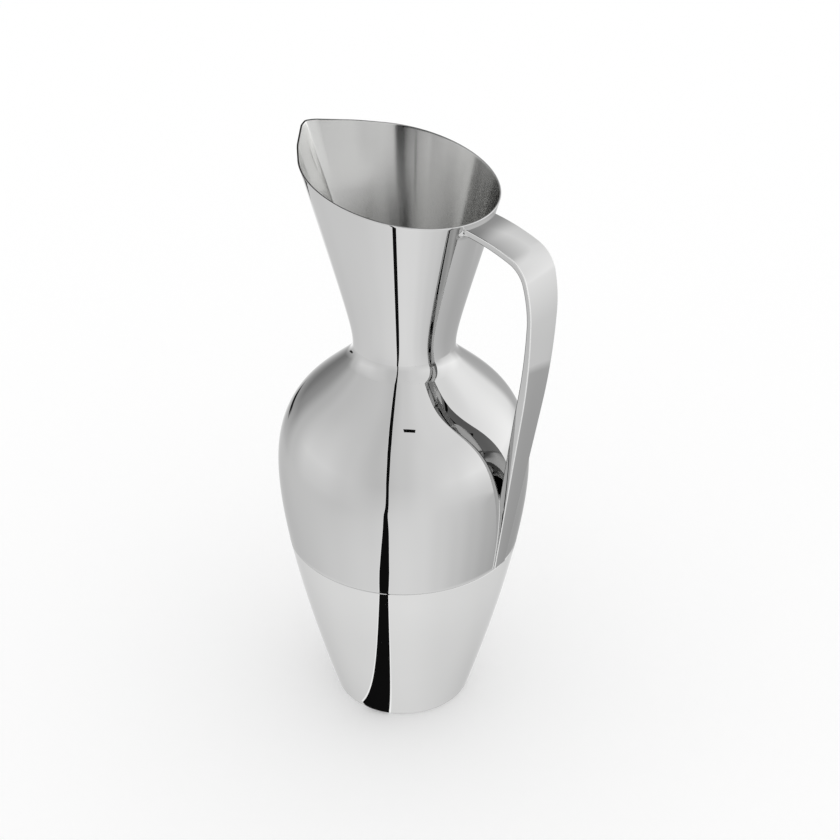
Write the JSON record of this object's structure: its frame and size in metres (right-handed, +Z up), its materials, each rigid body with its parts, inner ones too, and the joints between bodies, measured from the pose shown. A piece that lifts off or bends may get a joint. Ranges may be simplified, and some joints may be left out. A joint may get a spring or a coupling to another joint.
{
  "type": "water pitcher",
  "caption": "Polished steel water pitcher with a round belly, a flared neck, a slanted mouth with a pinched pouring spout, and a strap handle opposite the spout.",
  "frame": {"origin": "centre of the foot ring, on the table plane", "axes": "+Z up along the axis of the body, +X towards the tip of the spout, -X towards the handle, +Y across"},
  "size_m": [0.14, 0.125, 0.301],
  "materials": {
    "polished_cup": "stainless steel, mirror polished, a little hazier than the body above it",
    "polished_body": "stainless steel, mirror polished",
    "polished_neck": "stainless steel, mirror polished outside, satin with fine rings inside the mouth",
    "polished_handle": "stainless steel, mirror polished, edges eased",
    "polished_weld": "stainless steel weld, ground and polished to a small fillet",
    "plain_inner_steel": "stainless steel sheet as rolled"
  },
  "bodies": {
    "root": {"lower_cup": "polished_cup", "upper_body": "polished_body", "seam_sleeve": "plain_inner_steel", "neck_funnel": "polished_neck", "neck_bead": "polished_weld", "handle_strap": "polished_handle", "handle_top_bead": "polished_weld", "handle_tail_bead": "polished_weld"}
  },
  "joints": []
}
